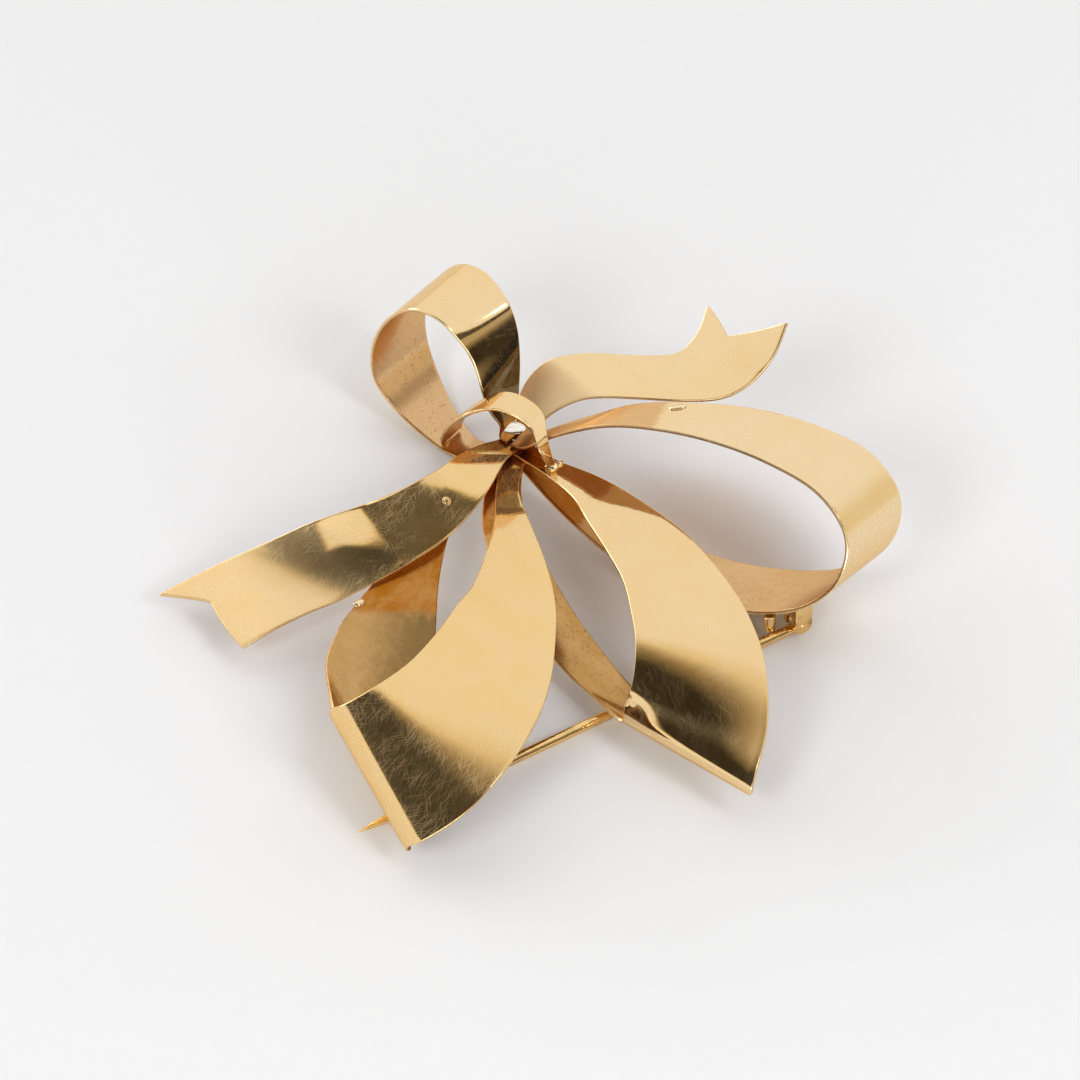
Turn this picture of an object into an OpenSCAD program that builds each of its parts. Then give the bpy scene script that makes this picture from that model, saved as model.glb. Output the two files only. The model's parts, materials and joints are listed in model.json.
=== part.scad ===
// Ribbon bow brooch in polished yellow gold: four folded loops and two swallow-tailed ends of thin
// sheet meet at one knot, a narrow arched band crosses it, and a hinged pin lies along the underside.
// The brooch lies on its back with its front up. +X runs to its right, +Y to its top.

/* [Sheet] */
// Thickness of the gold sheet that every ribbon is cut from
sheet_t = 0.3; // [0.2:0.05:0.5]
// Hair gap between neighbouring pieces that lie on each other
seat_gap = 0.05; // [0.02:0.01:0.1]

/* [Knot] */
// Length of the flat root of each ribbon on each side of the middle of the knot
root_half = 1; // [0.8:0.1:1.2]
// Distance that a root laps over the middle of the knot
root_lap = 0.3; // [0.1:0.1:0.5]
// Distance from the middle of the knot to a root that meets another end to end
butt = 0.1; // [0.1:0.05:0.2]
// Width of each ribbon at its root
root_width = 1.8; // [1.2:0.1:2.2]
// Height of the middle of the knot above the surface that the brooch lies on
knot_height = 5.1; // [4.5:0.1:7]
// Place of the knot to the left of the middle of the brooch
knot_left = 1.15; // [0:0.05:4]
// Place of the knot towards the top from the middle of the brooch
knot_up = 12.7; // [10:0.1:17]

/* [Top loop] */
// Reach of the loop that stands at the top left
top_loop_reach = 14.4; // [11:0.1:18]
// Height of its crest above the knot
top_loop_rise = 9; // [6:0.1:12]
// Width of its ribbon at the crest
top_loop_width = 6.8; // [5:0.1:9]
// Direction that it points in, anticlockwise from the right
top_loop_bearing = 141.5; // [130:0.5:150]

/* [Right loop] */
// Reach of the large loop that stands at the right
right_loop_reach = 29.2; // [24:0.1:34]
// Height of its crest above the knot
right_loop_rise = 8; // [6:0.1:11]
// Width of its ribbon at the far bend
right_loop_width = 7.4; // [5:0.1:10]
// Direction that it points in, anticlockwise from the right
right_loop_bearing = -31.8; // [-40:0.2:-24]

/* [Lower right loop] */
// Reach of the flat loop at the lower right
lower_right_reach = 33.8; // [28:0.1:38]
// Height of its crest above the knot
lower_right_rise = 3.4; // [2:0.1:5]
// Width of its ribbon at the fold
lower_right_width = 12.4; // [9:0.1:14]
// Direction that it points in, anticlockwise from the right
lower_right_bearing = -70; // [-74:0.5:-66]

/* [Lower left loop] */
// Reach of the flat loop at the lower left
lower_left_reach = 37.1; // [31:0.1:41]
// Height of its crest above the knot
lower_left_rise = 3.7; // [2.4:0.1:5]
// Width of its ribbon at the fold
lower_left_width = 12.6; // [9:0.1:14]
// Direction that it points in, anticlockwise from the right
lower_left_bearing = -108; // [-112:0.5:-104]

/* [Left tail] */
// Reach of the left tail
left_tail_reach = 28.5; // [23:0.1:33]
// Height of its crest above the knot
left_tail_rise = 1.7; // [1:0.1:3]
// Width of its ribbon at the tips
left_tail_width = 8.9; // [6:0.1:10]
// Direction that it points in, anticlockwise from the right
left_tail_bearing = 213; // [208:0.5:218]
// Depth of the notch between its tips
left_tail_notch = 1.6; // [1:0.1:4]

/* [Right tail] */
// Reach of the right tail
right_tail_reach = 18.8; // [15:0.1:23]
// Height of its tip above the knot
right_tail_rise = 8.5; // [6:0.1:11]
// Width of its ribbon near the tips
right_tail_width = 7.6; // [5:0.1:10]
// Direction that it points in, anticlockwise from the right
right_tail_bearing = 18.6; // [14:0.2:23]
// Depth of the notch between its tips
right_tail_notch = 1.8; // [1:0.1:4]

/* [Knot band] */
// Reach of each foot of the arched band from the knot
band_reach = 7.4; // [6:0.1:9]
// Height of the crest of the band above the knot
band_rise = 3.8; // [3:0.1:6]
// Width of the band at its left foot
band_width = 2.5; // [1.5:0.1:4]
// Direction that the band crosses the knot in
band_bearing = -47; // [-52:0.5:-42]

/* [Pin] */
// Row of the right loop's table that the hinge stands under
hinge_row = 9.5; // [9:0.1:10]
// Distance of the hinge from that loop's edge
hinge_in = 1.3; // [1:0.05:1.8]
// Height of the hinge's rivet above the surface that the brooch lies on
hinge_height = 1.25; // [1.1:0.05:1.5]
// Row of the lower left loop's table that the catch hangs from
catch_row = 12.2; // [12:0.1:12.6]
// Distance of the catch from that loop's edge
catch_in = 1.1; // [0.9:0.05:1.6]
// Length of the pin stem past the middle of the catch
past_catch = 3.7; // [3:0.1:5]
// Diameter of the pin stem
pin_d = 0.8; // [0.6:0.05:0.9]
// Height of the middle of the pin stem above the surface that the brooch lies on
pin_height = 0.6; // [0.5:0.05:0.8]
// Length of the taper at its point
point_length = 3.6; // [2:0.1:6]
// Diameter of the eye at the end of the stem
eye_d = 1.3; // [1.1:0.05:1.5]
// Width of the eye
eye_width = 0.9; // [0.8:0.05:1.2]
// Diameter of the hinge's holes for the rivet
rivet_d = 0.5; // [0.4:0.05:0.7]
// Clearance all round the rivet in the eye, and between the eye and the ears
pin_clearance = 0.04; // [0.02:0.01:0.08]

/* [Hinge and catch] */
// Diameter of the hinge's ears
ear_d = 1.5; // [1.4:0.1:2]
// Thickness of each ear
ear_t = 0.35; // [0.3:0.05:0.6]
// Diameter of the post that stops the stem
stop_d = 0.9; // [0.6:0.1:1.2]
// Distance of the stop from the rivet
stop_at = 2.2; // [1.8:0.1:3]
// Distance of the stop's middle behind the stem's middle
stop_back = 0.6; // [0.4:0.05:0.8]
// Length of the catch along the stem
catch_length = 1.6; // [1:0.1:2.5]
// Clearance between the stem and the catch
catch_clearance = 0.12; // [0.1:0.01:0.2]
// Wall of the catch
catch_t = 0.3; // [0.2:0.05:0.4]

/* [Hidden] */

gold = [0.86, 0.68, 0.38];

// Columns of the section tables. OUT and SIDE are shares of the reach, along the bearing and to the
// left of it, UP is a share of the rise above the knot, and WIDE a share of the ribbon's width.
// TURN swings the line across the ribbon in plan, and TIP raises its left end, both in degrees.
OUT = 0;
SIDE = 1;
UP = 2;
WIDE = 3;
TURN = 4;
TIP = 5;

// Steps from one section to the next
steps = 6;

// Height that a fitting is drawn to before the sheet above it cuts it off
uncut = 4;
// Angle that the catch's lips reach round under the middle of the stem on each side
catch_lip = 32;
round_fn = 48;

// Sideways tilt of the two standing loops about their bearings
top_loop_lean = 3;
right_loop_lean = -28;

// Where each tail's notch lies across it, from -1 at its right edge to 1 at its left
left_notch_at = -0.3;
right_notch_at = 0.3;

// Layers of the knot that the roots lie in, the upper root of a loop first. Layer 0 is at its middle.
top_loop_layers = [3, -3];
right_loop_layers = [3, -3];
lower_right_layers = [1, -2];
lower_left_layers = [0, -1];
tail_layer = 2;

// Turn of the roots in plan from each ribbon's bearing
lower_right_swings = [24, -32];
lower_left_swings = [12, -20];
left_tail_swing = 10;
right_tail_swing = 32;

top_loop = [
    [0.098, 0, 0.15, 0.30, -2, -4],
    [0.145, 0.008, 0.205, 0.40, -5, -8],
    [0.193, 0.008, 0.288, 0.53, -4, -7],
    [0.234, 0.006, 0.434, 0.60, -7, -11],
    [0.318, -0.024, 0.633, 0.67, -10, -16],
    [0.389, -0.012, 0.80, 0.74, -9, -15],
    [0.53, 0, 0.95, 0.85, -4, -7],
    [0.64, 0, 0.95, 0.96, 0, 0],
    [0.76, 0, 0.86, 0.99, 0, 0],
    [0.91, 0, 0.56, 1.00, 0, 0],
    [0.99, 0, 0.14, 0.97, 0, 0],
    [0.96, 0, -0.18, 0.93, 0, 0],
    [0.81, 0, -0.38, 0.77, 0, 0],
    [0.60, 0, -0.50, 0.55, 0, 0],
    [0.41, 0, -0.527, 0.39, 0, 0],
    [0.24, 0, -0.38, 0.31, 0, 0],
    [0.13, 0, -0.20, 0.27, 0, 0],
];

right_loop = [
    [0.114, -0.037, 0.33, 0.30, -7, 20],
    [0.25, -0.037, 0.645, 0.47, -7, 20],
    [0.40, -0.037, 0.835, 0.59, -7, 20],
    [0.555, -0.037, 0.945, 0.73, -7, 20],
    [0.717, -0.037, 0.975, 0.83, -7, 20],
    [0.87, -0.037, 0.90, 0.90, -7, 20],
    [0.97, -0.037, 0.66, 0.92, -7, 20],
    [0.997, -0.037, 0.41, 0.93, -7, 20],
    [0.985, -0.037, 0.09, 0.93, -7, 20],
    [0.927, -0.037, -0.21, 0.93, -7, 20],
    [0.83, -0.037, -0.44, 0.92, -7, 20],
    [0.635, -0.037, -0.64, 0.84, -7, 20],
    [0.483, -0.037, -0.63, 0.70, -7, 20],
    [0.33, -0.037, -0.54, 0.55, -7, 20],
    [0.165, -0.037, -0.33, 0.35, -7, 20],
    [0.08, -0.03, -0.20, 0.26, -7, 24],
];

lower_right_loop = [
    [0.11, 0.05, 0.20, 0.15, 43, 0],
    [0.21, 0.095, 0.41, 0.24, 22, 0],
    [0.32, 0.12, 0.65, 0.37, 7, 0],
    [0.45, 0.147, 0.85, 0.50, -2, 0],
    [0.58, 0.16, 1.00, 0.59, -10, 0],
    [0.69, 0.16, 1.00, 0.70, -20, 0],
    [0.80, 0.147, 0.82, 0.79, -29, 0],
    [0.91, 0.106, 0.32, 0.88, -40, 0],
    [0.965, 0.062, -0.20, 0.97, -56, 0],
    [0.98, 0.052, -0.42, 0.98, -58, 0],
    [0.967, 0.058, -0.66, 0.97, -58, 0],
    [0.91, 0.035, -0.80, 0.88, -58, 0],
    [0.80, 0.003, -0.92, 0.77, -56, 0],
    [0.645, -0.044, -0.88, 0.52, -45, 0],
    [0.49, -0.083, -0.68, 0.40, -32, 0],
    [0.37, -0.098, -0.47, 0.34, -25, 0],
    [0.284, -0.104, -0.32, 0.33, -20, 0],
    [0.13, -0.078, -0.19, 0.24, -15, 0],
];

lower_left_loop = [
    [0.123, 0.023, 0.03, 0.14, 18, 0],
    [0.22, 0.064, 0.24, 0.21, 18, 0],
    [0.334, 0.108, 0.49, 0.35, 14, 0],
    [0.458, 0.146, 0.73, 0.51, 7, -2],
    [0.553, 0.161, 0.89, 0.64, -4, -4],
    [0.666, 0.17, 1.00, 0.76, -8, -7],
    [0.79, 0.156, 1.00, 0.86, -12, -11],
    [0.92, 0.10, 0.73, 0.95, -29, -19],
    [0.972, 0.036, 0.33, 0.97, -40, -22],
    [0.965, 0.008, 0.05, 0.97, -41, -23],
    [0.96, 0, -0.14, 0.97, -41, -22],
    [0.95, 0.005, -0.35, 0.96, -41, -20],
    [0.88, -0.027, -0.44, 0.92, -41, -17],
    [0.72, -0.067, -0.51, 0.78, -22, -14],
    [0.588, -0.090, -0.50, 0.62, -2, -13],
    [0.477, -0.107, -0.50, 0.53, 25, -10],
    [0.385, -0.107, -0.35, 0.41, 33, -5],
    [0.272, -0.092, -0.17, 0.29, 48, -4],
    [0.162, -0.06, -0.08, 0.21, 55, 0],
];

left_tail = [
    [0.09, 0.01, 0.62, 0.33, 47, -10],
    [0.25, 0.09, 0.94, 0.47, 20, -30],
    [0.39, 0.123, 1.02, 0.60, 25, -36],
    [0.505, 0.12, 0.89, 0.69, 28, -34],
    [0.60, 0.098, 0.49, 0.75, 21, -26],
    [0.70, 0.067, -0.18, 0.79, 9, -14],
    [0.78, 0.04, -0.65, 0.85, 4, -4],
    [0.874, 0.018, -1.12, 0.93, 0, 2],
    [1.00, 0, -1.70, 1.00, 14, 4],
];

right_tail = [
    [0.122, 0.128, 0.186, 0.45, 16, 0],
    [0.248, 0.157, 0.33, 0.63, 12, 0],
    [0.354, 0.112, 0.427, 0.655, 3, 0],
    [0.475, 0.019, 0.534, 0.71, 9, 0],
    [0.627, -0.082, 0.616, 0.78, 17, 0],
    [0.755, -0.125, 0.65, 0.79, 21, 0],
    [0.846, -0.11, 0.71, 0.88, 28, -5],
    [0.93, -0.072, 0.84, 0.95, 34, -11],
    [1.00, 0, 1.00, 1.00, 38, -17],
];

band_arch = [
    [-1.00, 0.014, -1.13, 1.00, 10, 0],
    [-0.92, -0.06, -0.83, 1.00, 10, 0],
    [-0.82, -0.135, -0.47, 1.00, 8, 0],
    [-0.61, -0.23, 0.27, 0.98, 5, 0],
    [-0.41, -0.245, 0.83, 0.95, 5, 0],
    [-0.30, -0.152, 1.055, 0.92, 8, 0],
    [-0.193, -0.05, 1.15, 0.88, 15, 0],
    [0, 0.075, 1.05, 0.86, 20, 0],
    [0.196, 0.135, 0.84, 0.78, 20, 0],
    [0.42, -0.005, 0.71, 0.50, 12, 0],
    [0.54, 0.005, 0.27, 0.24, -20, 0],
];

// Direction across the ribbon at a row: square to the bearing, turned in plan and then tipped
function across(row, bearing, lean) =
    let (a = bearing + 90 + row[TURN], t = row[TIP] + lean)
    [cos(a) * cos(t), sin(a) * cos(t), sin(t)];

// A row's point in space. A leaning loop is tilted sideways about its bearing.
function place(row, reach, rise, bearing, lean) =
    let (out = row[OUT] * reach,
         side = row[SIDE] * reach * cos(lean) - row[UP] * rise * sin(lean),
         up = row[SIDE] * reach * sin(lean) + row[UP] * rise * cos(lean))
    [out * cos(bearing) - side * sin(bearing) - knot_left,
     out * sin(bearing) + side * cos(bearing) + knot_up,
     up + knot_height];

// Distance along the table from each row to the next, eased by a square root so that short spans
// beside long ones stay smooth
function spans(table, reach, rise) =
    [for (i = [0 : len(table) - 2])
        let (d = table[i + 1] - table[i])
        sqrt(norm([d[OUT] * reach, d[SIDE] * reach, d[UP] * rise]))];

function slope(table, h, i) =
    let (n = len(table) - 1,
         before = i > 0 ? (table[i] - table[i - 1]) / h[i - 1] : (table[1] - table[0]) / h[0],
         after = i < n ? (table[i + 1] - table[i]) / h[i] : before,
         w0 = i < n ? h[i] : 1,
         w1 = i > 0 && i < n ? h[i - 1] : i == 0 ? 0 : 1)
    (before * w0 + after * w1) / (w0 + w1);

// The curve between rows i and i + 1: a cubic that passes both with their slopes
function between(table, h, i, f) =
    let (f2 = f * f, f3 = f2 * f)
    table[i] * (2 * f3 - 3 * f2 + 1) + slope(table, h, i) * h[i] * (f3 - 2 * f2 + f)
    + table[i + 1] * (3 * f2 - 2 * f3) + slope(table, h, i + 1) * h[i] * (f3 - f2);

function smooth(table, reach, rise) =
    let (h = spans(table, reach, rise), n = len(table) - 1)
    concat([for (i = [0 : n - 1]) for (k = [0 : steps - 1]) between(table, h, i, k / steps)],
           [table[n]]);

// Height of a layer of the knot above its middle, where the flat roots lie on each other
function layer(n) = n * (sheet_t + seat_gap);

// The flat root of a ribbon at the middle of the knot: three rows, outer one first. A lap carries it
// past the middle, and a negative one stops it short, where two ribbons meet end to end.
function root(n, lap, reach, rise, width, lean, hang, swing = 0) =
    [for (out = [root_half, 0.7 * root_half, -lap])
        let (side = -hang * root_width / 2 + max(out, 0) * tan(swing))
        [out / reach, (side * cos(lean) + layer(n) * sin(lean)) / reach,
         (layer(n) * cos(lean) - side * sin(lean)) / rise, root_width / width, swing, -lean]];

function reversed(list) = [for (i = [len(list) - 1 : -1 : 0]) list[i]];

function unit(v) = v / norm(v);

// Stations along a ribbon: [middle, direction across, half width]. Hang says which edge follows the
// table: 0 the middle line, 1 the right edge with the ribbon on its left, -1 the left edge.
function stations(table, reach, rise, width, bearing, lean, hang) =
    [for (row = smooth(table, reach, rise))
        let (w = across(row, bearing, lean), half = row[WIDE] * width / 2)
        [place(row, reach, rise, bearing, lean) + w * half * hang, w, half]];

function facing(st, i) =
    let (n = len(st) - 1, along = st[min(i + 1, n)][0] - st[max(i - 1, 0)][0])
    unit(cross(unit(along), st[i][1]));

// A ribbon of sheet along its stations. Notch pulls the middle column back at the far end.
module ribbon(st, notch = 0, notch_at = 0) {
    n = len(st) - 1;
    cols = notch > 0 ? [-1, notch_at, 1] : [-1, 1];
    m = len(cols) - 1;
    length_all = norm(st[n][0] - st[0][0]);
    function pulled(i, c) = c == 1 && notch > 0 ? i * (1 - notch / length_all) : i;
    function at(p) = let (k = min(floor(p), n - 1), f = p - k)
        [for (e = [0 : 2]) st[k][e] * (1 - f) + st[k + 1][e] * f];
    points = [for (i = [0 : n]) for (c = [0 : m])
        let (p = pulled(i, c), s = at(p), k = min(round(p), n), nrm = facing(st, k))
        for (side = [1, -1]) s[0] + s[1] * s[2] * cols[c] + nrm * side * sheet_t / 2];
    function id(i, c, k) = (i * (m + 1) + c) * 2 + k;
    faces = concat(
        [for (i = [0 : n - 1]) for (c = [0 : m - 1])
            for (t = [[id(i, c, 0), id(i + 1, c + 1, 0), id(i + 1, c, 0)],
                      [id(i, c, 0), id(i, c + 1, 0), id(i + 1, c + 1, 0)],
                      [id(i, c, 1), id(i + 1, c, 1), id(i + 1, c + 1, 1)],
                      [id(i, c, 1), id(i + 1, c + 1, 1), id(i, c + 1, 1)]]) t],
        [for (i = [0 : n - 1])
            for (t = [[id(i, 0, 0), id(i + 1, 0, 1), id(i, 0, 1)],
                      [id(i, 0, 0), id(i + 1, 0, 0), id(i + 1, 0, 1)],
                      [id(i, m, 0), id(i + 1, m, 1), id(i + 1, m, 0)],
                      [id(i, m, 0), id(i, m, 1), id(i + 1, m, 1)]]) t],
        [for (c = [0 : m - 1])
            for (t = [[id(0, c, 0), id(0, c + 1, 1), id(0, c + 1, 0)],
                      [id(0, c, 0), id(0, c, 1), id(0, c + 1, 1)],
                      [id(n, c, 0), id(n, c + 1, 0), id(n, c + 1, 1)],
                      [id(n, c, 0), id(n, c + 1, 1), id(n, c, 1)]]) t]);
    color(gold) polyhedron(points, faces, convexity = 10);
}

// Stations of a loop: its table between its two roots, which lie in their own layers of the knot
function loop_stations(table, layers, laps, reach, rise, width, bearing, lean, hang, swings) =
    stations(concat(reversed(root(layers[0], laps, reach, rise, width, lean, hang, swings[0])), table,
                    root(layers[1], laps, reach, rise, width, lean, hang, swings[1])),
             reach, rise, width, bearing, lean, hang);

function tail_stations(table, reach, rise, width, bearing, swing) =
    stations(concat(reversed(root(tail_layer, -butt, reach, rise, width, 0, 0, swing)), table),
             reach, rise, width, bearing, 0, 0);

function right_loop_stations() =
    loop_stations(right_loop, right_loop_layers, -butt, right_loop_reach, right_loop_rise,
                  right_loop_width, right_loop_bearing, right_loop_lean, 1, [0, 0]);

function lower_left_stations() =
    loop_stations(lower_left_loop, lower_left_layers, root_lap, lower_left_reach, lower_left_rise,
                  lower_left_width, lower_left_bearing, 0, 0, lower_left_swings);

// Number of the station at a row of a loop's own table, which follows the three rows of its root
function at_row(row) = round((row + 3) * steps);

// Point of a station's line across, at a distance in from its right edge (side -1) or its left (side 1)
function inside(s, side, distance) = s[0] + s[1] * side * (s[2] - distance);

// The pin runs from under the right loop to under the lower left one
hinge_place = inside(right_loop_stations()[at_row(hinge_row)], -1, hinge_in);
catch_place = inside(lower_left_stations()[at_row(catch_row)], 1, catch_in);
pin_run = [catch_place[0] - hinge_place[0], catch_place[1] - hinge_place[1]];
pin_bearing = atan2(pin_run[1], pin_run[0]);
catch_at = norm(pin_run);
pin_length = catch_at + past_catch;

module loop_top() {
    ribbon(loop_stations(top_loop, top_loop_layers, -butt, top_loop_reach, top_loop_rise,
                         top_loop_width, top_loop_bearing, top_loop_lean, -1, [0, 0]));
}

module loop_right() {
    ribbon(right_loop_stations());
}

module loop_lower_right() {
    ribbon(loop_stations(lower_right_loop, lower_right_layers, root_lap, lower_right_reach,
                         lower_right_rise, lower_right_width, lower_right_bearing, 0, 0,
                         lower_right_swings));
}

module loop_lower_left() {
    ribbon(lower_left_stations());
}

module tail_left() {
    ribbon(tail_stations(left_tail, left_tail_reach, left_tail_rise, left_tail_width,
                         left_tail_bearing, left_tail_swing), left_tail_notch, left_notch_at);
}

module tail_right() {
    ribbon(tail_stations(right_tail, right_tail_reach, right_tail_rise, right_tail_width,
                         right_tail_bearing, right_tail_swing), right_tail_notch, right_notch_at);
}

module knot_band() {
    ribbon(stations(band_arch, band_reach, band_rise, band_width, band_bearing, 0, 0));
}

// The hinge's own frame: its origin is the middle of the rivet, X runs along the stem to its point, Z up
module at_hinge() {
    translate([hinge_place[0], hinge_place[1], hinge_height]) rotate([0, 0, pin_bearing]) children();
}

// A rod across the stem, middled on it
module across_stem(d, length) {
    rotate([90, 0, 0]) cylinder(d = d, h = length, center = true, $fn = round_fn);
}

// What stands under a loop ends a hair below its sheet, whose face is taken as flat round a station
module below(st, i) {
    n = facing(st, i);
    face = st[i][0] + n * (sheet_t / 2 + seat_gap);
    difference() {
        children();
        translate(face) rotate([0, acos(-n[2]), atan2(-n[1], -n[0])]) translate([0, 0, 2 * uncut])
            cube(4 * uncut, center = true);
    }
}

module hinge() {
    inner = eye_width + 2 * pin_clearance;
    color(gold) below(right_loop_stations(), at_row(hinge_row)) at_hinge() difference() {
        union() {
            for (side = [-1, 1]) translate([0, side * (inner + ear_t) / 2, 0]) {
                across_stem(ear_d, ear_t);
                translate([-ear_d / 2, -ear_t / 2, 0]) cube([ear_d, ear_t, uncut]);
            }
            translate([-ear_d / 2, -inner / 2 - ear_t, ear_d / 2]) cube([ear_d, inner + 2 * ear_t, uncut]);
        }
        across_stem(rivet_d, 3 * inner);
    }
}

module hinge_rivet() {
    color(gold) at_hinge() across_stem(rivet_d - seat_gap, eye_width + 2 * pin_clearance + 2 * ear_t);
}

module pin_stem() {
    drop = hinge_height - pin_height;
    shaft = pin_length - point_length;
    color(gold) at_hinge() difference() {
        union() {
            across_stem(eye_d, eye_width);
            translate([0, 0, -drop]) rotate([0, 90, 0]) {
                cylinder(d = pin_d, h = shaft, $fn = round_fn);
                translate([0, 0, shaft]) cylinder(d1 = pin_d, d2 = pin_d / 8, h = point_length, $fn = round_fn);
            }
        }
        across_stem(rivet_d - seat_gap + 2 * pin_clearance, 2 * eye_width);
    }
}

// A short post under the loop's rim that keeps the stem from swinging up
module pin_stop() {
    foot = pin_height + pin_d / 2 + seat_gap - hinge_height;
    color(gold) below(right_loop_stations(), at_row(hinge_row + 0.5)) at_hinge()
        translate([stop_at, -stop_back, foot]) cylinder(d = stop_d, h = uncut, $fn = round_fn);
}

// A hook that holds the stem from above and is open below, on a short neck
module pin_catch() {
    bore = pin_d + 2 * catch_clearance;
    outer = bore + 2 * catch_t;
    color(gold) below(lower_left_stations(), at_row(catch_row - 0.3)) at_hinge()
        translate([catch_at, 0, pin_height - hinge_height]) difference() {
            union() {
                rotate([0, 90, 0]) cylinder(d = outer, h = catch_length, center = true, $fn = round_fn);
                translate([-catch_length / 2, -bore / 2, 0]) cube([catch_length, bore, uncut]);
            }
            rotate([0, 90, 0]) cylinder(d = bore, h = 2 * catch_length, center = true, $fn = round_fn);
            translate([-catch_length, -outer / 2, -outer])
                cube([2 * catch_length, outer, outer - outer / 2 * sin(catch_lip)]);
        }
}

loop_top();
loop_right();
loop_lower_right();
loop_lower_left();
tail_left();
tail_right();
knot_band();
hinge();
hinge_rivet();
pin_stem();
pin_stop();
pin_catch();
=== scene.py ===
"""Ribbon bow brooch in polished yellow gold, dressed around its packed construction model."""
import json
import math

import bmesh
import bpy
import numpy as np
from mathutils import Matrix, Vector


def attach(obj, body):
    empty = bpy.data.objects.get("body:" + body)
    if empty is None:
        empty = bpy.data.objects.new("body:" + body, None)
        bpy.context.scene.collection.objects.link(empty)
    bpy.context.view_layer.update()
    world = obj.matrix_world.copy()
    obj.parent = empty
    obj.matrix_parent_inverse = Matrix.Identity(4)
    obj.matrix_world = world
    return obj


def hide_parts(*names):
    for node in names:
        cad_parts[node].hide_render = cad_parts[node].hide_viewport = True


bl_info = {
    "name": "Ribbon Bow Brooch",
    "version": (1, 0, 0),
    "blender": (4, 5, 0),
    "location": "View3D > Sidebar > Brooch",
    "description": "Builds the finish of a gold ribbon bow brooch and the studio that it lies in",
    "category": "Add Mesh",
}

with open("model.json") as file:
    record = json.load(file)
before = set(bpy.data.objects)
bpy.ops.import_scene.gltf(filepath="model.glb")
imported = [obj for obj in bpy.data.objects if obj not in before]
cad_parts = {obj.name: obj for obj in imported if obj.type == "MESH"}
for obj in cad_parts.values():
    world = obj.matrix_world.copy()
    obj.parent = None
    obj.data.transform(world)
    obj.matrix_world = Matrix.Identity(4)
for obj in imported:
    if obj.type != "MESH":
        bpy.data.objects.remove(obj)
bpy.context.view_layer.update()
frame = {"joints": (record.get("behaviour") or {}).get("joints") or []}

MM = 0.001

# Columns of the section tables. OUT and SIDE are shares of the reach, along the bearing and to the left
# of it, UP is a share of the rise above the knot, WIDE a share of the ribbon's width, TURN swings the
# line across the ribbon in plan and TIP raises its left end, in degrees.
OUT, SIDE, UP, WIDE, TURN, TIP = range(6)

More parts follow.
